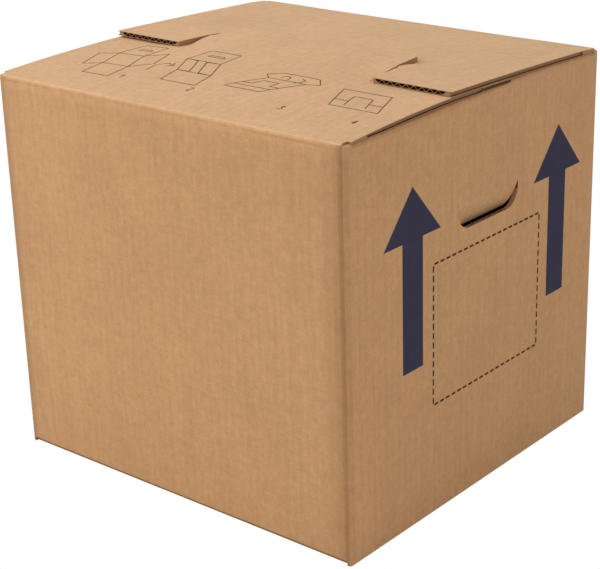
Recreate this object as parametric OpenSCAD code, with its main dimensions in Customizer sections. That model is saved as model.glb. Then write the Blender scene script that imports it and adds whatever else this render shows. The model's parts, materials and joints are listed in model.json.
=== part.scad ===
// Closed removals carton of single wall corrugated board.
// One creased and glued sheet makes the box body. Its two outer top flaps are
// closed by slots that cross each other: the front flap's tongue lies over the
// back flap, and the back flap's two wings lie over the front flap.
// Front is -Y, the hand holes are in the end walls at +X and -X, up is +Z.
// The origin is at the middle of the base, on the surface that it stands on.

/* [Box] */
// Outer width, along the front wall
box_w = 370; // [300:1:500]
// Outer depth, along the end walls
box_d = 348; // [280:1:480]
// Height of the upper creases of the front and back walls
box_h = 340; // [240:1:500]
// Thickness of the corrugated board
board_t = 4; // [3:0.1:5]
// Inner radius of the folds at the four vertical corners
corner_in_r = 1; // [0.5:0.1:4]
// Outer radius of the creases at the base and of the outer flaps
crease_r = 3; // [1:0.1:3.5]

/* [Crossed closure] */
// How far each outer flap reaches past the middle of the box
flap_reach = 38; // [20:1:60]
// Distance between the middles of the two slots
slot_pitch = 204; // [120:1:240]
// Width of a slot beside its root
slot_w = 0.6; // [0.3:0.1:2]
// Step at which a slot widens at the crossing
slot_step = 1.8; // [0.5:0.1:4]
// Widening of a slot from the crossing to its mouth
slot_flare = 4; // [0:0.5:10]
// Corner cut from each side of the tongue's tip
tongue_corner = 8; // [1:1:20]
// How far the back flap's edge runs askew, from its middle to each side
wing_skew = 5; // [0:0.5:8]
// Length of each slot that lies before the middle of the box
slot_root = 37; // [25:1:50]
// Rise of the lower board from its crease to the slot root
low_rise = 5.3; // [3:0.1:8]
// Air between boards that lie on each other
lay_gap = 0.3; // [0.2:0.05:1]
// Width of the zone beside a slot in which the upper board bends
bend_w = 42; // [20:1:50]
// Gap at the middle of the box before a hidden flap end
middle_gap = 1; // [0.5:0.1:3]
// Width of the zone at a flap's sides that is pressed thinner on the end walls
press_w = 50; // [45:1:60]
// Part of the rise that the front flap lacks at its left side
left_sag = 0.27; // [0:0.01:0.4]
// Inset of the flaps' cut sides from the end walls
flap_inset = 0.5; // [0:0.1:3]

/* [Inner top flaps] */
// Reach of an inner flap from its end wall
inner_len = 130; // [60:1:135]
// Inset of an inner flap's cut sides from the front and back walls
inner_inset = 4; // [2:0.5:12]
// Inner radius of the fold on the end wall
inner_fold_r = 0.5; // [0.2:0.1:1.5]
// Downward slope of the inner flaps, in degrees
inner_slope = 3.5; // [3:0.5:15]
// Height of an end wall's crease below the outer flaps' creases, at the corners
end_drop = 1.3; // [1:0.1:2]
// How far an end wall's crease bows up from its corners
end_bow = 2.9; // [0:0.1:3]
// Place of the highest point of that bow
bow_y = 60; // [40:1:80]

/* [Hand holes] */
// Length of the cut
hole_len = 85; // [70:1:120]
// Height of the straight lower cut above the base
hole_z = 235; // [120:1:260]
// Height of the tongue that the cut leaves
hole_tongue_h = 20.5; // [15:0.5:35]
// Radius at the ends of the cut
hole_r = 16; // [8:0.5:20]
// Place of the hole's middle along the end wall
hole_y = 8; // [-20:1:20]
// How far the tongue is pushed in, in degrees
hole_push = 18; // [17:1:60]
// Width of the knife's cut round the tongue
hole_cut_w = 0.6; // [0.3:0.1:1.5]

/* [Flutes] */
// Pitch of the board's flutes
flute_pitch = 7.8; // [6:0.1:9]
// Thickness of a liner and of the fluted sheet
liner_t = 0.5; // [0.3:0.05:0.7]
// Depth to which the flutes are open at a cut edge
flute_depth = 6; // [2:0.5:10]
// Depth of the channel along an edge that is cut beside a flute
groove_depth = 2; // [1:0.1:3]

/* [Glued joint] */
// Width of the lap inside the back wall
lap_w = 35; // [20:1:50]
// Distance of the lap's ends from the creases
lap_end = 8; // [4:1:30]
// Slope of the lap's ends across its width
lap_taper = 12; // [0:1:20]
// Gap between the glued edge and the corner
seam_w = 1.2; // [0.5:0.1:3]

/* [Base] */
// Gap between the two outer base flaps
base_seam = 1; // [0.5:0.5:6]
// Inset of the outer base flaps' cut sides
base_inset = 3; // [1:0.5:8]
// Reach of an inner base flap from its wall
base_inner_len = 135; // [60:1:135]

/* [Hidden] */
$fn = 48;
eps = 0.01;
kraft = "#b98f62";
kraft_light = "#c69e72";

half_w = box_w / 2;
half_d = box_d / 2;
corner_r = corner_in_r + board_t;
wall_top = box_h - board_t;
slot_in = slot_pitch / 2 - slot_w / 2;
slot_out = slot_pitch / 2 + slot_w / 2;
flap_edge = half_w - flap_inset;
root_u = half_d - slot_root;
short_u = half_d - middle_gap;
cross_u = half_d + middle_gap;
long_u = half_d + flap_reach;
high_rise = low_rise + board_t + lay_gap;
tip_cut_u = tongue_corner / 2;
notch_u = 2 * board_t;
notch_x = half_w - board_t - lay_gap;
inner_out_r = inner_fold_r + board_t;
inner_half_y = half_d - board_t - inner_inset;
// Rise of the wings just behind their crease, its length, and the length of the arch after it
wing_root_rise = 1.9;
wing_root_l = 24;
wing_arch_l = 400;

// Eased step from 0 to 1
function eased(v) =
    let (k = min(1, max(0, v)))
    k * k * (3 - 2 * k);

// Rise of a curve that leaves its crease and is level after length l
function arched(u, l) = 1 - pow(1 - min(1, max(0, u / l)), 2);

// Height of a board that lies below the other, at u from its crease
function low_z(u) = low_rise * arched(u, root_u);

// Height of the upper board beside a slot, which climbs over the other board
function climb_z(u) =
    low_z(u) + (high_rise - low_rise) * eased((u - root_u) / (short_u - root_u));

// Height of the upper board away from the slots
function tongue_free_z(u) = high_rise * arched(u, long_u);
function wing_free_z(u) =
    wing_root_rise * arched(u, wing_root_l) +
    (high_rise - wing_root_rise) * arched(u, wing_arch_l) / arched(long_u, wing_arch_l);
function free_z(u, tongue) = tongue ? tongue_free_z(u) : wing_free_z(u);

// Height of the upper board, where away is 0 beside a slot and 1 far from it
function high_z(u, away, tongue) =
    (1 - eased(away)) * climb_z(u) + eased(away) * free_z(u, tongue);

// Height of the lower board, which stays clear of the other flap above it
function under_z(u, away, tongue, sag) =
    min((1 - sag) * low_z(u), high_z(box_d - u, away, !tongue) - board_t - lay_gap);

// Drop of the rounded crease below the flap's own surface
function crease_drop(u) =
    u >= crease_r ? 0 : crease_r - sqrt(crease_r * crease_r - pow(crease_r - u, 2));

// Widening of a slot at u from the crease
function widening(u) =
    u <= short_u + eps ? 0 : slot_step + slot_flare * max(0, u - cross_u) / (long_u - cross_u);

// Part of the tongue's corner that is cut away at u
function corner_cut(u) = tongue_corner * max(0, u - long_u + tip_cut_u) / tip_cut_u;

// Height of an end wall's crease at y, from the outer flaps' creases
function bed_z(y) =
    y < bow_y
        ? -end_drop + end_bow * pow(max(0, (y + inner_half_y) / (bow_y + inner_half_y)), 2)
        : -end_drop + end_bow * eased((inner_half_y - y) / (inner_half_y - bow_y));

// Rows of points from the crease to the tip
climb_steps = 6;
row_u = concat(
    [0, crease_r * 0.1, crease_r * 0.35, crease_r * 0.7, crease_r, board_t, notch_u],
    [for (k = [1:7]) notch_u + (root_u - notch_u) * k / 7],
    [for (k = [1:climb_steps]) root_u + (short_u - root_u) * k / climb_steps],
    [cross_u],
    [for (k = [1:3]) cross_u + (long_u - tip_cut_u - cross_u) * k / 3],
    [long_u]
);

// Columns of points across a flap, dense where the board bends
bend_steps = 6;
press_steps = 3;
bend_end = slot_out + bend_w;
half_cols = concat(
    [for (k = [0:bend_steps]) slot_in - bend_w + bend_w * k / bend_steps],
    [for (k = [0:bend_steps]) slot_out + bend_w * k / bend_steps],
    [for (k = [1:press_steps]) bend_end + (notch_x - bend_end) * k / press_steps],
    [flap_edge]
);
half_n = len(half_cols);
col_x = concat([for (k = [half_n - 1:-1:0]) -half_cols[k]], half_cols);
col_n = len(col_x);
row_n = len(row_u);

// Where a column of cells lies
function cell_x(i) = abs(col_x[i] + col_x[i + 1]) / 2;
function in_slot(i) = cell_x(i) > slot_in && cell_x(i) < slot_out;
function in_notch(i) = cell_x(i) > notch_x;

// Whether the flap has board in a cell. The long part is the tongue or the wings.
function cell_is_board(i, j, tongue) =
    i < 0 || j < 0 || i >= col_n - 1 || j >= row_n - 1 ? false :
    in_slot(i) ? row_u[j + 1] <= root_u + eps :
    in_notch(i) && row_u[j] < notch_u - eps ? false :
    (cell_x(i) < slot_in) == tongue || row_u[j + 1] <= short_u + eps;

// How far the board is pressed on the end walls, from 0 to 1 at the sides
function pressed(x) = eased((abs(x) - flap_edge + press_w) / (press_w - flap_edge + notch_x));

// Height of a flap's upper face and lower face at x and u
function top_z(x, u, tongue) =
    let (
        is_mid = abs(x) <= slot_in + eps,
        away = is_mid ? (slot_in - abs(x)) / bend_w : (abs(x) - slot_out) / bend_w,
        sag = tongue && !is_mid && x < 0 ? left_sag * eased(away) : 0
    )
    is_mid == tongue ? high_z(u, away, tongue) : under_z(u, away, tongue, sag);
function bottom_z(x, u, tongue) =
    let (
        full = top_z(x, u, tongue) - board_t,
        bed = bed_z(tongue ? u - half_d : half_d - u) + lay_gap
    )
    u <= board_t + eps ? -board_t : full + pressed(x) * max(0, bed - full);

// Place of a grid point across the flap, with the slots widened at their mouths
function point_x(x, u, tongue) =
    let (a = abs(x), side = sign(x))
    tongue
        ? (a > slot_in + eps ? x : x * (1 - (widening(u) + corner_cut(u)) / slot_in))
        : (a < slot_out - eps ? x :
            side * (a + widening(u) * (flap_edge - a) / (flap_edge - slot_out)));

// Place of a grid point along the flap, with the back flap's edge askew
function point_y(x, u, tongue) =
    tongue ? u : u - wing_skew * x / flap_edge * max(0, u - root_u) / (long_u - root_u);

// Two triangles of a cell's face
function two(a, b, c, d) = [[a, b, c], [a, c, d]];

// A flap of bent board. u runs from the crease, and z is 0 at the crease's height.
module bent_board(tongue) {
    half_grid = col_n * row_n;
    points = concat(
        [for (u = row_u) for (x = col_x)
            [point_x(x, u, tongue), point_y(x, u, tongue), top_z(x, u, tongue) - crease_drop(u)]],
        [for (u = row_u) for (x = col_x)
            [point_x(x, u, tongue), point_y(x, u, tongue), bottom_z(x, u, tongue)]]
    );
    faces = [for (j = [0:row_n - 2]) for (i = [0:col_n - 2])
        if (cell_is_board(i, j, tongue))
            let (
                a = j * col_n + i,
                b = a + 1,
                c = b + col_n,
                d = a + col_n
            )
            for (f = concat(
                two(d, c, b, a),
                two(half_grid + a, half_grid + b, half_grid + c, half_grid + d),
                cell_is_board(i, j - 1, tongue) ? [] : two(a, b, half_grid + b, half_grid + a),
                cell_is_board(i, j + 1, tongue) ? [] : two(c, d, half_grid + d, half_grid + c),
                cell_is_board(i - 1, j, tongue) ? [] : two(d, a, half_grid + a, half_grid + d),
                cell_is_board(i + 1, j, tongue) ? [] : two(b, c, half_grid + c, half_grid + b)
            )) f];
    polyhedron(points = points, faces = faces, convexity = 6);
}

// Section of one open flute in board of thickness t, below z 0, resting on either liner
module flute_section(t, up) {
    foot = flute_pitch / 2 - liner_t;
    crown = liner_t;
    low = up ? liner_t - t : -liner_t;
    high = up ? -2 * liner_t : 2 * liner_t - t;
    polygon([[-foot, low], [foot, low], [crown, high], [-crown, high]]);
}

// Open flutes at a flap's tip, each turned with the board that it lies in
module tip_flutes(tongue) {
    edge_gap = groove_depth + liner_t;
    mouth = slot_step + slot_flare + (tongue ? tongue_corner : 0);
    mid_end = tongue ? slot_in - mouth - liner_t : slot_in - liner_t;
    side_start = tongue ? slot_out + liner_t : slot_out + mouth + liner_t;
    step = flute_pitch / 2;
    mid_n = floor(mid_end / step);
    side_n = floor((flap_edge - edge_gap - side_start) / step);
    places = concat(
        [for (k = [-mid_n + 1:mid_n - 1]) k],
        [for (s = [-1, 1]) for (k = [ceil(side_start / step) + 1:ceil(side_start / step) + side_n - 1]) s * k]
    );
    for (k = places)
        let (
            x = k * step,
            is_long = (abs(x) < slot_in) == tongue,
            u = is_long ? long_u : short_u,
            before = is_long ? tip_cut_u : (short_u - root_u) / climb_steps,
            top = top_z(x, u, tongue),
            t = top - bottom_z(x, u, tongue),
            across = (top_z(x + 1, u, tongue) - top_z(x - 1, u, tongue)) / 2,
            along = (top - top_z(x, u - before, tongue)) / before
        )
        translate([x, point_y(x, u, tongue), top])
            rotate([atan(along), -atan(across), 0])
                translate([0, flute_depth, 0])
                    rotate([90, 0, 0])
                        linear_extrude(2 * flute_depth)
                            flute_section(t, abs(k) % 2 == 0);
}

// Channel between the liners along both sides of a flap
module side_grooves(tongue) {
    last_u = tongue ? short_u : long_u;
    groove_u = concat([for (u = row_u) if (u > 2 * notch_u && u <= last_u) u], [last_u + 1]);
    for (s = [-1, 1])
        side_groove(s, tongue, groove_u);
}
module side_groove(s, tongue, groove_u) {
    x = s * flap_edge;
    n = len(groove_u);
    points = [for (u = groove_u)
        let (
            y = point_y(x, u, tongue),
            low = bottom_z(x, u, tongue) + liner_t,
            high = top_z(x, u, tongue) - liner_t
        )
        for (p = [
            [flap_edge - groove_depth, low],
            [half_w + 1, low],
            [half_w + 1, high],
            [flap_edge - groove_depth, high]
        ]) [s * p[0], y, p[1]]];
    side = [for (j = [0:n - 2]) for (k = [0:3])
        let (a = 4 * j + k, b = 4 * j + (k + 1) % 4)
        for (f = two(a, b, b + 4, a + 4)) f];
    caps = concat(two(3, 2, 1, 0), two(4 * n - 4, 4 * n - 3, 4 * n - 2, 4 * n - 1));
    all = concat(side, caps);
    faces = s < 0 ? [for (f = all) [f[2], f[1], f[0]]] : all;
    polyhedron(points = points, faces = faces, convexity = 2);
}

// A whole outer flap with its cut edges
module outer_flap(tongue) {
    difference() {
        bent_board(tongue);
        tip_flutes(tongue);
        side_grooves(tongue);
    }
}

// Front flap, whose tongue lies over the back flap
module front_outer_flap() {
    color(kraft_light)
        translate([0, -half_d, box_h])
            outer_flap(true);
}

// Back flap, whose two wings lie over the front flap
module back_outer_flap() {
    color(kraft_light)
        translate([0, half_d, box_h])
            rotate([0, 0, 180])
                outer_flap(false);
}

// Rectangle with true round corners
module rounded_plan(w, d, r) {
    square([w - 2 * r, d], center = true);
    square([w, d - 2 * r], center = true);
    for (sx = [-1, 1])
        for (sy = [-1, 1])
            translate([sx * (w / 2 - r), sy * (d / 2 - r)])
                circle(r);
}

// Four walls, with the front and back ones one board higher at the base
module walls() {
    difference() {
        linear_extrude(wall_top)
            difference() {
                rounded_plan(box_w, box_d, corner_r);
                rounded_plan(box_w - 2 * board_t, box_d - 2 * board_t, corner_in_r);
            }
        cube([box_w - 2 * corner_r, box_d + 2, 2 * board_t], center = true);
    }
    for (sx = [-1, 1])
        for (sy = [-1, 1])
            wall_shoulder(sx, sy);
}

// Corner of an end wall that stands up beside the outer flap's crease
module wall_shoulder(sx, sy) {
    length = half_d - inner_half_y;
    linear_extrude(box_h - end_drop)
        intersection() {
            difference() {
                rounded_plan(box_w, box_d, corner_r);
                rounded_plan(box_w - 2 * board_t, box_d - 2 * board_t, corner_in_r);
            }
            translate([sx * (half_w - board_t / 2), sy * (half_d - length / 2)])
                square([board_t, length], center = true);
        }
}

// What is cut away to round a crease that runs along Z past the plan's corner
module crease_cut(length) {
    linear_extrude(length, center = true)
        difference() {
            translate([-crease_r, -crease_r])
                square(crease_r + 1);
            translate([-crease_r, -crease_r])
                circle(crease_r);
        }
}

// Base of two outer flaps on the end walls and two inner flaps on the long walls
module base() {
    for (s = [0, 180])
        rotate([0, 0, s]) {
            translate([base_seam / 2, -half_d + base_inset, 0])
                cube([half_w - base_seam / 2 - board_t / 2, box_d - 2 * base_inset, board_t]);
            translate([-half_w + board_t + inner_inset, -half_d + board_t / 2, board_t + lay_gap])
                cube([box_w - 2 * board_t - 2 * inner_inset, base_inner_len - board_t / 2, board_t]);
        }
}

// Section of the fold from an end wall into its inner flap: outer face, then inner face
fold_steps = 5;
function fold_arc(r) =
    [for (k = [0:fold_steps]) let (a = 90 * k / fold_steps)
        [half_w - inner_out_r + r * cos(a), r * sin(a) - inner_out_r]];
function flap_end(r) =
    [half_w - inner_len, r - inner_out_r - (inner_len - inner_out_r) * tan(inner_slope)];

// Inner top flap on the end wall at +X, bowed with its crease and sloping down
module inner_top_flap() {
    outer = concat(fold_arc(inner_out_r), [flap_end(inner_out_r)]);
    inner = concat(fold_arc(inner_fold_r), [flap_end(inner_fold_r)]);
    foot_z = wall_top - 2 * inner_out_r;
    n = len(outer) + 1;
    cols = 20;
    points = [for (c = [0:cols])
        let (y = inner_half_y * (2 * c / cols - 1), lift = box_h + bed_z(y))
        for (p = concat(
            [[half_w, foot_z]],
            [for (q = outer) [q[0], q[1] + lift]],
            [for (k = [n - 2:-1:0]) [inner[k][0], inner[k][1] + lift]],
            [[half_w - board_t, foot_z]]
        )) [p[0], y, p[1]]];
    m = 2 * n;
    faces = concat(
        [for (c = [0:cols - 1]) for (k = [0:m - 1])
            let (a = c * m + k, b = c * m + (k + 1) % m)
            for (f = two(a, b, b + m, a + m)) f],
        [for (k = [0:n - 2]) for (f = two(m - 1 - k, m - 2 - k, k + 1, k)) f],
        [for (k = [0:n - 2]) let (e = cols * m)
            for (f = two(e + k, e + k + 1, e + m - 2 - k, e + m - 1 - k)) f]
    );
    polyhedron(points = points, faces = faces, convexity = 4);
}

// Outline of the hand hole's tongue, hung from its crease, drawn in by cut
module hole_outline(cut) {
    r = hole_r - cut;
    half_len = hole_len / 2 - cut;
    difference() {
        union() {
            for (s = [-1, 1])
                translate([s * (half_len - r), cut + r])
                    circle(r);
            translate([-half_len + r, cut])
                square([2 * (half_len - r), hole_tongue_h + r]);
            translate([-half_len, cut + r])
                square([2 * half_len, hole_tongue_h + r]);
        }
        translate([-hole_len, hole_tongue_h])
            square(2 * hole_len);
    }
}

// Opening that the cut leaves in the end wall at +X
module hand_hole() {
    translate([half_w - 2 * board_t, hole_y, hole_z])
        rotate([90, 0, 90])
            linear_extrude(3 * board_t)
                hole_outline(0);
}

// Tongue of the hand hole, pushed in about its crease on the outer face
module hand_hole_tongue() {
    translate([half_w, hole_y, hole_z + hole_tongue_h])
        rotate([0, hole_push, 0])
            translate([-board_t, 0, -hole_tongue_h])
                rotate([90, 0, 90])
                    linear_extrude(board_t)
                        hole_outline(hole_cut_w);
}

// Lap inside the back wall that closes the sheet into a tube
module glued_lap() {
    low = board_t + lap_end;
    high = wall_top - lap_end;
    translate([-half_w + board_t / 2, half_d - board_t, 0])
        rotate([90, 0, 0])
            linear_extrude(board_t)
                polygon([
                    [0, low],
                    [lap_w, low + lap_taper],
                    [lap_w, high - lap_taper],
                    [0, high]
                ]);
}

// Gap at the back corner where the sheet's two ends meet, closed behind by the lap
module seam() {
    translate([-half_w + corner_r, half_d - board_t, -1])
        cube([seam_w, board_t + 1, box_h]);
}

// The whole folded sheet without its two outer top flaps
module box_body() {
    color(kraft)
        difference() {
            union() {
                difference() {
                    union() {
                        difference() {
                            walls();
                            seam();
                        }
                        base();
                        for (s = [0, 1])
                            mirror([s, 0, 0])
                                inner_top_flap();
                        glued_lap();
                    }
                    for (s = [0, 1])
                        mirror([s, 0, 0])
                            hand_hole();
                }
                for (s = [0, 1])
                    mirror([s, 0, 0])
                        hand_hole_tongue();
            }
            for (s = [0, 1])
                mirror([s, 0, 0])
                    translate([half_w, 0, 0])
                        rotate([90, 0, 0])
                            mirror([0, 1, 0])
                                crease_cut(box_d + 2);
        }
}

box_body();
front_outer_flap();
back_outer_flap();
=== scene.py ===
"""Looks of a closed removals carton of corrugated board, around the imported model.

Front is -Y, the printed end wall is at +X, up is +Z, and every length is in metres.
"""

import json
import math

import bmesh
import bpy
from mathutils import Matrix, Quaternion, Vector
from mathutils.bvhtree import BVHTree


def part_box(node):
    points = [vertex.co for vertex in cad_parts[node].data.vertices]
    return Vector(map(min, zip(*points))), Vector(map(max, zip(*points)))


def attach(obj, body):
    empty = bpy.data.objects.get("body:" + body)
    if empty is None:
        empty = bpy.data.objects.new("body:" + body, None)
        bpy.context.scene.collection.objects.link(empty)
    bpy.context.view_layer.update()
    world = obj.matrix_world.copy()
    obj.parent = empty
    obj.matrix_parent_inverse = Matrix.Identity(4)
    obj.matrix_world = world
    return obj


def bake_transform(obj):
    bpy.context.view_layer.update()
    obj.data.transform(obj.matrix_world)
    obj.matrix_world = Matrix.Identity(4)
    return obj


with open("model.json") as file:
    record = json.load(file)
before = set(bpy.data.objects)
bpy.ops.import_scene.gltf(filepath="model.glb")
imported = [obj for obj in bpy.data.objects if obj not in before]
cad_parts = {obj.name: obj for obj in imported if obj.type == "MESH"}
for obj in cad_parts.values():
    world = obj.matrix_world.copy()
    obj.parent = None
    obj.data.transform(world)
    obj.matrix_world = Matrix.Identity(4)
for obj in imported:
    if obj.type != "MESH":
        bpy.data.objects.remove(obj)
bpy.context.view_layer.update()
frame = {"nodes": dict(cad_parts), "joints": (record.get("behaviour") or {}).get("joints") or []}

# Sizes taken from the frame
body_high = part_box("box_body")[1]
HALF_W = body_high.x
HALF_D = body_high.y
hinges = {j["name"]: j for j in frame["joints"]}
CREASE_Z = hinges["front_flap_hinge"]["pos_m"][2]

# Board
BOARD_T = 0.004
FLUTE_PITCH = 0.0078
CREASE_R = 0.003
LAY_GAP = 0.0003
WALL_TOP = CREASE_Z - BOARD_T

# Crossed flaps: their sides, how far before the middle the solids end, and their full reach past it
FLAP_EDGE = HALF_W - 0.0005
MIDDLE_GAP = 0.001
FLAP_REACH = 0.038

# Hand holes: middle of the cut and its straight lower edge
HOLE_Y = 0.008
HOLE_Z = 0.235

# Print: lift off the board, and the middle of the end wall's print
PRINT_LIFT = 0.00012
PRINT_Y = 0.0085


def linear(r, g, b):
    """An sRGB colour in 0 to 255 as linear RGBA."""
    def one(v):
        v = v / 255
        return v / 12.92 if v <= 0.04045 else ((v + 0.055) / 1.055) ** 2.4
    return (one(r), one(g), one(b), 1.0)


class Graph:
    """A short way to write a material's nodes."""

    def __init__(self, name):
        self.material = bpy.data.materials.new(name)
        self.material.use_nodes = True
        self.tree = self.material.node_tree
        self.tree.nodes.clear()
        self.out = self.tree.nodes.new("ShaderNodeOutputMaterial")

    def add(self, kind, **props):
        node = self.tree.nodes.new(kind)
        for key, value in props.items():
            setattr(node, key, value)
        return node

    def put(self, socket, value):
        if isinstance(value, bpy.types.NodeSocket):
            self.tree.links.new(value, socket)
        else:
            socket.default_value = value

    def math(self, operation, a, b=0.0):
        node = self.add("ShaderNodeMath", operation=operation)
        self.put(node.inputs[0], a)
        self.put(node.inputs[1], b)
        return node.outputs[0]

    def plus(self, a, b):
        return self.math("ADD", a, b)

    def minus(self, a, b):
        return self.math("SUBTRACT", a, b)

    def times(self, *values):
        product = values[0]
        for value in values[1:]:
            product = self.math("MULTIPLY", product, value)
        return product

    def size(self, value):
        return self.math("ABSOLUTE", value)

    def above(self, a, b):
        return self.math("GREATER_THAN", a, b)

    def ramp(self, value, low, high, to_low=0.0, to_high=1.0):
        node = self.add("ShaderNodeMapRange", interpolation_type="SMOOTHSTEP")
        for socket, v in zip(node.inputs[:5], (value, low, high, to_low, to_high)):
            self.put(socket, v)
        return node.outputs[0]

    def mix(self, factor, a, b):
        node = self.add("ShaderNodeMix", data_type="RGBA")
        self.put(node.inputs[0], factor)
        self.put(node.inputs[6], a)
        self.put(node.inputs[7], b)
        return node.outputs[2]

    def noise(self, vector, scale, detail=2.0, roughness=0.5):
        node = self.add("ShaderNodeTexNoise")
        self.put(node.inputs["Vector"], vector)
        node.inputs["Scale"].default_value = scale
        node.inputs["Detail"].default_value = detail
        node.inputs["Roughness"].default_value = roughness
        return node.outputs["Fac"]

    def stretched(self, vector, x, y, z):
        node = self.add("ShaderNodeMapping")
        self.put(node.inputs["Vector"], vector)
        node.inputs["Scale"].default_value = (x, y, z)
        return node.outputs["Vector"]

    def split(self, vector):
        node = self.add("ShaderNodeSeparateXYZ")
        self.put(node.inputs[0], vector)
        return node.outputs

    def bump(self, height, strength, distance, normal=None):
        node = self.add("ShaderNodeBump")
        node.inputs["Strength"].default_value = strength
        node.inputs["Distance"].default_value = distance
        self.put(node.inputs["Height"], height)
        if normal is not None:
            self.put(node.inputs["Normal"], normal)
        return node.outputs["Normal"]

    def turned(self, drop, normal):
        """A normal turned by the slope of a drop, which is a true length."""
        return self.bump(drop, 1.0, 1.0, normal)

    def surface(self, color, roughness, normal, specular=0.3, sheen=0.0):
        shader = self.add("ShaderNodeBsdfPrincipled")
        self.put(shader.inputs["Base Color"], color)
        self.put(shader.inputs["Roughness"], roughness)
        self.put(shader.inputs["Normal"], normal)
        shader.inputs["Specular IOR Level"].default_value = specular
        shader.inputs["Sheen Weight"].default_value = sheen
        self.tree.links.new(shader.outputs[0], self.out.inputs[0])
        return self.material


KRAFT = linear(203, 161, 118)


def liner_fibres(g, place, wave, walls):
    """Light and dark of the liner around 1, and the streaks and grain that its relief uses."""
    along = (1.0, 1.0, 0.05) if walls else (1.0, 0.05, 1.0)
    fine_along = (1.0, 1.0, 0.15) if walls else (1.0, 0.15, 1.0)
    fine_across = (0.15, 0.15, 1.0) if walls else (0.15, 1.0, 1.0)
    streak = g.noise(g.stretched(place, *along), 110.0, 4.0, 0.65)
    thread = g.noise(g.stretched(place, *fine_along), 420.0, 3.0, 0.6)
    weft = g.noise(g.stretched(place, *fine_across), 520.0, 3.0, 0.6)
    grain = g.noise(place, 700.0, 4.0, 0.65)
    mottle = g.noise(place, 170.0, 3.0, 0.6)
    cloud = g.noise(place, 12.0, 3.0, 0.55)
    fleck = g.ramp(g.noise(place, 330.0, 2.0, 0.7), 0.66, 0.74)
    light = g.times(wave, 0.012)
    amounts = ((streak, 0.15), (thread, 0.15), (weft, 0.13), (grain, 0.30), (mottle, 0.28), (cloud, 0.18))
    for part, amount in amounts:
        light = g.plus(light, g.times(g.minus(part, 0.5), amount))
    light = g.minus(light, g.times(fleck, 0.08))
    return g.plus(light, 1.0), streak, grain


def long_wall_painted_light(g, factor, place):
    """Painted shade at the upright corners of the long walls, partly the darker pressed fold; under the
    creases a paler band, a painted shadow line and a painted highlight.
    """
    x, y, z = g.split(place)
    side = g.size(x)
    long_wall = g.ramp(g.size(y), HALF_D - 0.0052, HALF_D - 0.0032)
    shadow_breaks = g.ramp(g.noise(place, 30.0), 0.40, 0.60)
    # Each row is how much lighter the board gets, and the bounds that it lies in
    painted_marks = (
        # A dark line beside each end wall: partly the darker pressed fold, partly painted shade in the
        # corner
        (-0.17, g.ramp(side, HALF_W - 0.0085, HALF_W - 0.0062),
         g.ramp(side, HALF_W - 0.0040, HALF_W - 0.0022, 1.0, 0.0)),
        # Two steps of painted shade before it, where the wall turns towards the corner
        (-0.05, g.ramp(side, HALF_W - 0.026, HALF_W - 0.021)),
        (-0.05, g.ramp(side, HALF_W - 0.014, HALF_W - 0.009)),
        # A paler band under the crease, then a thin painted shadow line just under the fold, broken up by
        # noise, then a painted highlight on the crease's ridge
        (0.07, g.ramp(z, CREASE_Z - 0.012, CREASE_Z - 0.007)),
        (-0.09, g.ramp(z, CREASE_Z - 0.0050, CREASE_Z - 0.0042),
         g.ramp(z, CREASE_Z - 0.0030, CREASE_Z - 0.0024, 1.0, 0.0), shadow_breaks),
        (0.04, g.ramp(z, CREASE_Z - 0.0026, CREASE_Z - 0.0018)),
    )
    for amount, *bounds in painted_marks:
        factor = g.times(factor, g.plus(1.0, g.times(long_wall, *bounds, amount)))
    return factor


def wall_turns(g, place, on_end, normal):
    """The long walls' soft turn before their corners, and the curl of the hand holes' tongues."""
    x, y, z = g.split(place)
    side = g.size(x)
    start = g.math("MAXIMUM", g.minus(side, HALF_W - 0.024), 0.0)
    before_fold = g.math("LESS_THAN", side, HALF_W - 0.003)
    normal = g.turned(g.times(start, start, before_fold, -8.0), normal)

    curl = g.math("MAXIMUM", g.minus(HOLE_Z + 0.0125, z), 0.0)
    near = g.ramp(g.size(g.minus(y, HOLE_Y)), 0.024, 0.034, 1.0, 0.0)
    return g.turned(g.times(curl, curl, near, on_end, g.above(z, HOLE_Z + 0.001), -45.0), normal)


def board_material(name, walls, tint):
    """Kraft liner over flutes, which run up the walls or from a flap's crease to its tip."""
    g = Graph(name)
    coords = g.add("ShaderNodeTexCoord")
    place = coords.outputs["Object"]
    x, y, z = g.split(place)
    across = x
    if walls:
        nx, _, nz = g.split(coords.outputs["Normal"])
        on_end = g.above(g.size(nx), 0.7)
        on_inner_flap = g.times(g.above(g.size(nz), 0.7), g.above(z, WALL_TOP - 0.015))
        use_y = g.math("MAXIMUM", on_end, on_inner_flap)
        across = g.plus(g.times(y, use_y), g.times(x, g.minus(1.0, use_y)))
    wander = g.times(g.noise(place, 9.0), 0.004)
    wave = g.math("SINE", g.times(g.plus(across, wander), 2 * math.pi / FLUTE_PITCH))
    factor, streak, grain = liner_fibres(g, place, wave, walls)
    if walls:
        factor = long_wall_painted_light(g, factor, place)
    else:
        # Painted highlight along the crease's rounded ridge
        crease = g.ramp(g.size(y), HALF_D - 0.0022, HALF_D - 0.0010)
        factor = g.plus(factor, g.times(crease, 0.13))
    # The darker spots are a little redder
    color = g.add("ShaderNodeCombineColor")
    for i, power in enumerate((1.0, 1.12, 1.3)):
        g.put(color.inputs[i], g.times(g.math("POWER", factor, power), KRAFT[i] * tint[i]))
    relief = g.plus(g.times(wave, 0.5), g.times(streak, 1.2))
    normal = g.bump(relief, 0.30, 0.0003)
    normal = g.bump(grain, 0.22, 0.0002, normal)
    if walls:
        normal = wall_turns(g, place, on_end, normal)
    return g.surface(color.outputs[0], 0.80, normal, specular=0.3, sheen=0.05)


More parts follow.
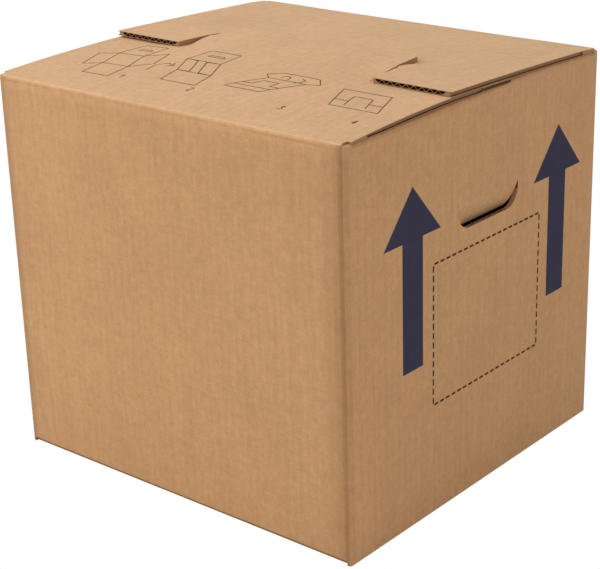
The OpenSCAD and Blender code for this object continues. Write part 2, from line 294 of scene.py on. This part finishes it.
def fibre_material(name, dark, light):
    """The torn fibres of a cut edge, or the dark painted shade inside a flute."""
    g = Graph(name)
    place = g.add("ShaderNodeTexCoord").outputs["Object"]
    grain = g.noise(place, 1500.0, 3.0, 0.6)
    color = g.mix(grain, dark, light)
    normal = g.bump(grain, 0.5, 0.0003)
    return g.surface(color, 0.9, normal, specular=0.15)


def ink_material(name, color, show_through):
    """Flexo ink on kraft, thin enough for the board's grain to show."""
    g = Graph(name)
    place = g.add("ShaderNodeTexCoord").outputs["Object"]
    grain = g.noise(place, 700.0, 4.0, 0.7)
    blot = g.noise(place, 60.0, 3.0, 0.6)
    thin = g.times(g.ramp(grain, 0.45, 0.8), show_through)
    thin = g.plus(thin, g.times(g.ramp(blot, 0.4, 0.8), show_through * 0.4))
    shade = g.mix(thin, color, linear(150, 112, 84))
    normal = g.bump(grain, 0.15, 0.0002)
    return g.surface(shade, 0.75, normal, specular=0.12)


# The walls' tint is darker and more saturated than the flaps': partly the board's own variation, partly a
# painted sheen that makes the tops paler
WALL_BOARD = board_material("wall_board", True, (0.95, 0.87, 0.77))
FLAP_BOARD = board_material("flap_board", False, (0.99, 1.005, 1.02))
# The cut edge's brown is the torn fibres' own colour, darkened further as painted shade
CUT_EDGE = fibre_material("board_cut_edge", linear(130, 94, 64), linear(190, 150, 112))
# Dark brown painted shade for the insides of open flutes and slits, which are kraft in shadow
PAINTED_FLUTE_SHADE = fibre_material("flute_painted_shade", linear(52, 34, 22), linear(104, 72, 46))
NAVY_INK = ink_material("navy_ink", linear(55, 54, 74), 0.08)
BROWN_INK = ink_material("dark_brown_ink", linear(66, 34, 18), 0.15)
LINE_INK = ink_material("line_ink", linear(78, 60, 48), 0.15)

# Slots of a piece of board: board, cut edge, and painted shade in flutes
BOARD, CUT, FLUTE = 0, 1, 2


def dress_node(name, board, kind_of):
    """Gives a CAD node its board, its cut edges, and painted shade on the insides of its open flutes."""
    mesh = frame["nodes"][name].data
    mesh.materials.clear()
    for material in (board, CUT_EDGE, PAINTED_FLUTE_SHADE):
        mesh.materials.append(material)
    tree = BVHTree.FromPolygons([v.co for v in mesh.vertices], [list(f.vertices) for f in mesh.polygons])
    for face in mesh.polygons:
        # A face of a flute looks at another face less than a board's thickness away, and is given the
        # painted flute shade
        opposite = tree.ray_cast(face.center + face.normal * 2e-5, face.normal, 0.9 * BOARD_T)[0]
        in_flute = opposite is not None and abs(face.center.z - WALL_TOP) < 0.016
        face.material_index = FLUTE if in_flute else kind_of(face)
    return tree


def flap_kind(face):
    """The slot of an outer flap's face, outside its flutes."""
    near_crease = HALF_D - abs(face.center.y) < CREASE_R + 0.0002
    return CUT if abs(face.normal.z) < 0.5 and not near_crease else BOARD


def body_kind(face):
    """The slot of a face of the walls, the inner top flaps or the base."""
    c, n = face.center, face.normal
    # The edges of the hand holes are cut where they face up, and in their own shadow elsewhere
    if abs(c.x) > HALF_W - 3 * BOARD_T and -0.001 < c.z - HOLE_Z < 0.023 and abs(n.x) < 0.5:
        return CUT if n.z > 0.2 else FLUTE
    if abs(n.z) >= 0.5:
        return BOARD
    inner_flap = c.z > WALL_TOP - 0.014 and abs(c.x) < HALF_W - BOARD_T and abs(c.y) < HALF_D - 0.005
    base_flap = c.z < 0.0085 and max(abs(c.x) - HALF_W, abs(c.y) - HALF_D) < -0.0025
    return CUT if inner_flap or base_flap else BOARD


body_tree = dress_node("box_body", WALL_BOARD, body_kind)
front_tree = dress_node("front_outer_flap", FLAP_BOARD, flap_kind)
back_tree = dress_node("back_outer_flap", FLAP_BOARD, flap_kind)


def height_at(tree, x, y, down=True):
    """Height at which a line through x and y first meets a node, from above or from below."""
    start, way = (CREASE_Z + 0.05, -1) if down else (CREASE_Z - 0.03, 1)
    hit = tree.ray_cast(Vector((x, y, start)), Vector((0, 0, way)))[0]
    return None if hit is None else hit.z


def mesh_piece(name, verts, faces, *materials):
    mesh = bpy.data.meshes.new(name)
    mesh.from_pydata([tuple(v) for v in verts], [], faces)
    for material in materials:
        mesh.materials.append(material)
    for face in mesh.polygons:
        face.use_smooth = False
    piece = bpy.data.objects.new(name, mesh)
    bpy.context.scene.collection.objects.link(piece)
    return piece


def lofted_piece(name, rings, slots, end_slot, *materials):
    """A closed piece through rings of points. slots has one slot for each side of a ring."""
    n = len(rings[0])
    last = (len(rings) - 1) * n
    faces, face_slots = [], []
    for start in range(0, last, n):
        for k in range(n):
            a, b = start + k, start + (k + 1) % n
            faces.append((a, b, b + n, a + n))
            face_slots.append(slots[k])
    faces += [tuple(reversed(range(n))), tuple(range(last, last + n))]
    face_slots += [end_slot, end_slot]
    piece = mesh_piece(name, [point for ring in rings for point in ring], faces, *materials)
    for face, slot in zip(piece.data.polygons, face_slots):
        face.material_index = slot
    outward = bmesh.new()
    outward.from_mesh(piece.data)
    bmesh.ops.recalc_face_normals(outward, faces=outward.faces)
    outward.to_mesh(piece.data)
    outward.free()
    return piece


def crease_jacket(name, side, tree):
    """The bent board of an outer flap's crease, which closes the gap between the wall and the flap where
    they meet.

    Its section is drawn from the wall's outer face at the crease: first depth into the box, then height.
    """
    skin, cover, foot, arc_foot = PRINT_LIFT, 0.0075, -0.009, -0.006
    columns, arc_steps, turn_steps, turn = 24, 12, 6, 0.0015
    inner = BOARD_T + skin
    edge = HALF_W - BOARD_T - 0.0004

    def outer_arc(k):
        angle = math.pi - math.pi / 2 * k / arc_steps
        return (CREASE_R + (CREASE_R + skin) * math.cos(angle),
                -CREASE_R + (CREASE_R + skin) * math.sin(angle))

    rings = []
    for c in range(columns + 1):
        x = edge * (2 * c / columns - 1)

        def flap_z(depth, down):
            return height_at(tree, x, side * (HALF_D - depth), down) - CREASE_Z

        section = [(-skin, foot), (-skin, arc_foot)]
        section += [outer_arc(k) for k in range(arc_steps + 1)]
        section += [(d, flap_z(d, True) + skin) for d in (0.005, cover)]
        section += [(d, flap_z(d, False) - skin) for d in (cover, inner + 2 * turn)]
        section += [(inner + turn * (1 - k / turn_steps), -inner) for k in range(turn_steps + 1)]
        section += [(inner, -inner - turn * k / turn_steps) for k in range(1, turn_steps + 1)]
        section.append((inner, foot))
        rings.append([Vector((x, side * (HALF_D - d), CREASE_Z + z)) for d, z in section])

    # The wall's board goes halfway round the crease outside, and to the turn inside
    n = len(rings[0])
    on_wall = 2 + arc_steps // 2
    slots = [0 if k < on_wall or k > n - turn_steps - 2 else 1 for k in range(n)]
    piece = lofted_piece(name, rings, slots, 0, WALL_BOARD, FLAP_BOARD)
    for face in piece.data.polygons:
        face.use_smooth = len(face.vertices) == 4 and abs(face.normal.x) < 0.1
    piece.data.set_sharp_from_angle(angle=0.6)
    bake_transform(piece)


def flap_strip(name, body, side, own, other, x_low, x_high):
    """The end of an outer flap that lies under the other one, which the solids leave off."""
    start, tip = HALF_D - MIDDLE_GAP, HALF_D + FLAP_REACH
    lip = Vector((0, 0, 0.0008))
    rows, columns = 8, 16

    def cast(tree, x, y, down):
        # A ray that runs exactly along an edge can miss, so it is tried again beside it
        for nudge in (0.002, 0.0022, 0.0024, 0.003):
            z = height_at(tree, x * (1 - nudge), y + side * (nudge - 0.002), down)
            if z is not None:
                return z
        return 0.0

    rings = []
    for r in range(rows + 1):
        y = side * (HALF_D - start - (tip - start) * r / rows)
        tops, feet = [], []
        for c in range(columns + 1):
            x = x_low + (x_high - x_low) * c / columns
            end_z = cast(own, x, side * (HALF_D - start + 0.0005), True)
            top = min(end_z, cast(other, x, y, False) - LAY_GAP)
            foot = max(top - BOARD_T, cast(body_tree, x, y, True) + LAY_GAP)
            tops.append(Vector((x, y, top)))
            feet.append(Vector((x, y, foot)))
        rings.append(tops + [tops[-1] - lip, feet[-1] + lip] + feet[::-1] + [feet[0] + lip, tops[0] - lip])

    # A strip's side shows its liners as cut edge and the flutes between them in painted shade
    slots = ([BOARD] * columns + [CUT, FLUTE, CUT]) * 2
    piece = lofted_piece(name, rings, slots, CUT, FLAP_BOARD, CUT_EDGE, PAINTED_FLUTE_SHADE)
    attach(piece, body)


def on_end_wall(points):
    """Points drawn as (y, z) on the outer face of the end wall at +X."""
    return [Vector((HALF_W + PRINT_LIFT, y, z)) for y, z in points]


def arrow_print(name, y):
    """An up arrow on the end wall."""
    apex_z, head_z, foot_z = 0.2886, 0.2462, 0.1384
    head, shaft = 0.0365, 0.013
    outline = [(y - shaft, foot_z), (y + shaft, foot_z), (y + shaft, head_z), (y + head, head_z),
               (y, apex_z), (y - head, head_z), (y - shaft, head_z)]
    piece = mesh_piece(name, on_end_wall(outline), [(0, 1, 2, 6), (3, 4, 5)], NAVY_INK)
    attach(piece, "box")


def dashed_frame(name):
    """A dashed rectangle between the arrows."""
    half, low, high = 0.0757, 0.0982, 0.2183
    dash, pitch, thick = 0.0052, 0.0080, 0.0017
    left, right = PRINT_Y - half, PRINT_Y + half
    corners = [(left, high), (right, high), (right, low), (left, low)]
    verts, faces = [], []
    for a, b in zip(corners, corners[1:] + corners[:1]):
        length = math.dist(a, b)
        count = round(length / pitch)
        along = (Vector(b) - Vector(a)) / length
        across = Vector((-along.y, along.x)) * thick / 2
        for k in range(count):
            start = Vector(a) + along * ((k + 0.5) * length / count - dash / 2)
            end = start + along * dash
            n = len(verts)
            verts += on_end_wall((start - across, end - across, end + across, start + across))
            faces.append((n, n + 1, n + 2, n + 3))
    piece = mesh_piece(name, verts, faces, BROWN_INK)
    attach(piece, "box")


def hole_lip_flute_shade(name, side):
    """Dark sheets of painted shade for the open flutes in the cut lower edge of a hand hole."""
    half, liner = 0.0275, 0.0006
    foot_half, crown_half = 0.0016, 0.0004
    outer, inner = HALF_W - liner, HALF_W - BOARD_T + liner
    count = int(2 * half / (FLUTE_PITCH / 2))
    verts, faces = [], []
    for k in range(count):
        y = HOLE_Y - half + (k + 0.5) * 2 * half / count
        foot, crown = (outer, inner) if k % 2 else (inner, outer)
        n = len(verts)
        corners = [(foot, y - foot_half), (foot, y + foot_half),
                   (crown, y + crown_half), (crown, y - crown_half)]
        verts += [(side * px, py, HOLE_Z + PRINT_LIFT) for px, py in corners]
        order = (n, n + 1, n + 2, n + 3)
        flip = (side > 0) != (foot > crown)
        faces.append(order if not flip else order[::-1])
    piece = mesh_piece(name, verts, faces, PAINTED_FLUTE_SHADE)
    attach(piece, "box")


class Drawing:
    """Thin lines laid on the front flap, fitted into a box given in millimetres.

    Where x0 is above x1, the drawing is mirrored.
    """

    def __init__(self, x0, x1, y0, y1):
        self.place = (x0, x1, y0, y1)
        self.strokes = []

    def line(self, *points):
        self.strokes.append(points)

    def fitted_strokes(self):
        """The strokes as lists of points, still in millimetres."""
        us = [u for stroke in self.strokes for u, v in stroke]
        vs = [v for stroke in self.strokes for u, v in stroke]
        x0, x1, y0, y1 = self.place
        wide, tall = max(us) - min(us), max(vs) - min(vs)
        return [[Vector((x0 + (x1 - x0) * (u - min(us)) / wide, y0 + (y1 - y0) * (v - min(vs)) / tall))
                 for u, v in stroke] for stroke in self.strokes]

    def finish(self, name):
        thick, longest = 0.8, 5.0
        verts, faces = [], []
        for places in self.fitted_strokes():
            for a, b in zip(places, places[1:]):
                along = (b - a).normalized()
                across = Vector((-along.y, along.x)) * thick / 2
                parts = max(1, math.ceil((b - a).length / longest))
                for k in range(parts):
                    start, end = a + (b - a) * k / parts, a + (b - a) * (k + 1) / parts
                    n = len(verts)
                    for p in (start - across, end - across, end + across, start + across):
                        x, y = p.x / 1000, p.y / 1000
                        verts.append((x, y, height_at(front_tree, x, y) + PRINT_LIFT))
                    faces.append((n, n + 1, n + 2, n + 3))
        piece = mesh_piece(name, verts, faces, LINE_INK)
        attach(piece, "front_flap")


def folding_drawings():
    """Four line drawings of a carton being closed, of plain shapes only, with their numerals."""
    top_face = ((0, 0), (1, 0), (1.4, 0.5), (0.4, 0.5), (0, 0))
    back_panel = ((0.4, 0.5), (0.45, 1.0), (1.35, 1.0), (1.4, 0.5))
    front_panel = ((0, 0), (-0.15, -0.45), (0.85, -0.45), (1, 0))
    hand_slot = ((0.62, 0.74), (0.68, 0.8), (1.08, 0.8), (1.12, 0.74), (0.62, 0.74))

    d = Drawing(-83, -155, -135, -44)
    d.line(*top_face)
    d.line(*back_panel)
    d.line((0, 0), (-0.5, 0.25), (-0.1, 0.75), (0.4, 0.5))
    d.line((1, 0), (1.5, -0.15), (1.9, 0.35), (1.4, 0.5))
    d.line(*front_panel)
    d.line(*hand_slot)
    d.finish("drawing_open")

    d = Drawing(-8, -78, -122, -40)
    d.line(*top_face)
    d.line(*back_panel)
    d.line((0, 0), (0.4, 0.02), (0.78, 0.48), (0.4, 0.5))
    d.line((1, 0), (0.66, 0.02), (1.04, 0.48), (1.4, 0.5))
    d.line(*front_panel)
    d.line((1.66, -0.2), (1.72, 0.05), (1.55, 0.2), (1.3, 0.12))
    d.line((1.4, 0.24), (1.3, 0.12), (1.44, 0.06))
    d.line(*hand_slot)
    d.finish("drawing_inner_flaps")

    d = Drawing(13, 80, -110, -62)
    d.line((0, 0), (1.2, 0), (1.7, 0.6), (0.5, 0.6), (0, 0))
    d.line((0.1, 0.15), (0.42, 0.15), (0.55, 0.4), (1.05, 0.4), (1.0, 0.15), (1.3, 0.15))
    d.line((0.5, 0.6), (0.25, 0.78), (0.6, 1.0), (1.75, 1.0), (2.0, 0.75), (1.7, 0.6))
    d.line((0.75, 0.72), (0.85, 0.85), (1.0, 0.82), (1.05, 0.66))
    d.line((1.35, 0.85), (1.5, 0.78), (1.48, 0.64), (1.35, 0.55))
    d.line((0, 0), (-0.1, -0.2), (1.05, -0.2), (1.2, 0))
    d.finish("drawing_crossing")

    d = Drawing(162, 100, -106, -67)
    d.line((0, 0), (1.2, 0), (1.6, 0.8), (0.4, 0.8), (0, 0))
    d.line((0.15, 0.3), (0.5, 0.3), (0.62, 0.54), (1.08, 0.54), (1.0, 0.3), (1.35, 0.3))
    d.line((0.4, 0.1), (0.5, 0.3))
    d.line((0.92, 0.1), (1.0, 0.3))
    d.finish("drawing_closed")

    numerals = (
        (1, -84, ((0, 0.8), (0.4, 1.0), (0.4, 0.0))),
        (2, -6, ((0, 0.8), (0.1, 1.0), (0.4, 1.0), (0.5, 0.8), (0.0, 0.0), (0.5, 0.0))),
        (3, 88, ((0, 1.0), (0.5, 1.0), (0.2, 0.6), (0.5, 0.35), (0.4, 0.0), (0, 0.0))),
        (4, 158, ((0.4, 0.0), (0.4, 1.0), (0.0, 0.35), (0.55, 0.35))),
    )
    for numeral, x, stroke in numerals:
        d = Drawing(x, x + 3.5, -134, -127)
        d.line(*stroke)
        d.finish("numeral_%d" % numeral)


def make_camera():
    """The photograph's view: azimuth, elevation and roll in degrees, place in metres."""
    data = bpy.data.cameras.new("camera")
    data.sensor_width = 36.0
    data.lens = 99.25
    data.clip_start, data.clip_end = 0.05, 50.0
    camera = bpy.data.objects.new("camera", data)
    bpy.context.scene.collection.objects.link(camera)
    azimuth, elevation, roll = (math.radians(a) for a in (40.476, 21.380, -1.716))
    back = Vector((math.sin(azimuth) * math.cos(elevation),
                   -math.cos(azimuth) * math.cos(elevation), math.sin(elevation)))
    camera.location = (0.88098, -1.04212, 0.67234)
    camera.rotation_mode = "QUATERNION"
    camera.rotation_quaternion = (-back).to_track_quat("-Z", "Y") @ Quaternion((0, 0, 1), roll)
    bpy.context.scene.camera = camera


def make_floor():
    """A pale floor that keeps the shadow's light, seen white by the camera."""
    g = Graph("pale_floor")
    path = g.add("ShaderNodeLightPath")
    diffuse = g.add("ShaderNodeBsdfDiffuse")
    diffuse.inputs["Color"].default_value = (0.82, 0.82, 0.82, 1)
    white = g.add("ShaderNodeEmission")
    white.inputs["Color"].default_value = (1, 1, 1, 1)
    both = g.add("ShaderNodeMixShader")
    g.put(both.inputs[0], path.outputs["Is Camera Ray"])
    g.put(both.inputs[1], diffuse.outputs[0])
    g.put(both.inputs[2], white.outputs[0])
    g.put(g.out.inputs[0], both.outputs[0])
    size = 6.0
    corners = [(-size, -size, 0), (size, -size, 0), (size, size, 0), (-size, size, 0)]
    floor = mesh_piece("floor", corners, [(0, 1, 2, 3)], g.material)
    floor.location.z = -0.0002


def make_world():
    """An even fill light, seen white by the camera."""
    world = bpy.data.worlds.new("world")
    world.use_nodes = True
    nodes, links = world.node_tree.nodes, world.node_tree.links
    nodes.clear()
    output = nodes.new("ShaderNodeOutputWorld")
    path = nodes.new("ShaderNodeLightPath")
    mix = nodes.new("ShaderNodeMixShader")
    links.new(path.outputs["Is Camera Ray"], mix.inputs[0])
    for slot, strength in ((1, 0.48), (2, 1.0)):
        white = nodes.new("ShaderNodeBackground")
        white.inputs["Color"].default_value = (1, 1, 1, 1)
        white.inputs["Strength"].default_value = strength
        links.new(white.outputs[0], mix.inputs[slot])
    links.new(mix.outputs[0], output.inputs[0])
    bpy.context.scene.world = world


def area_light(name, place, target_z, size, power):
    """A square lamp aimed at a height on the box's axis."""
    data = bpy.data.lights.new(name, "AREA")
    data.shape = "SQUARE"
    data.size = size
    data.energy = power
    light = bpy.data.objects.new(name, data)
    light.location = place
    light.rotation_mode = "QUATERNION"
    light.rotation_quaternion = (Vector((0, 0, target_z)) - Vector(place)).to_track_quat("-Z", "Y")
    bpy.context.scene.collection.objects.link(light)


crease_jacket("front_crease", -1, front_tree)
crease_jacket("back_crease", 1, back_tree)
# The front flap's strips start beside its slots, and the back flap's lies between its slots
STRIP_IN, MIDDLE_STRIP = 0.1085, 0.0935
flap_strip("front_strip_left", "front_flap", -1, front_tree, back_tree, -FLAP_EDGE, -STRIP_IN)
flap_strip("front_strip_right", "front_flap", -1, front_tree, back_tree, STRIP_IN, FLAP_EDGE)
flap_strip("back_strip", "back_flap", 1, back_tree, front_tree, -MIDDLE_STRIP, MIDDLE_STRIP)
arrow_print("arrow_front", PRINT_Y - 0.1027)
arrow_print("arrow_back", PRINT_Y + 0.1027)
dashed_frame("dashed_frame")
hole_lip_flute_shade("hole_lip_shade_right", 1)
hole_lip_flute_shade("hole_lip_shade_left", -1)
folding_drawings()

make_camera()
make_floor()
make_world()
area_light("key", (-1.25, -1.4, 1.3), 0.2, 1.2, 20.5)
area_light("top", (-0.4, 0.1, 2.1), 0.3, 1.2, 12.5)
area_light("fill", (2.4, -0.4, 1.2), 0.2, 1.6, 10.5)
bpy.context.scene.view_settings.view_transform = "Standard"
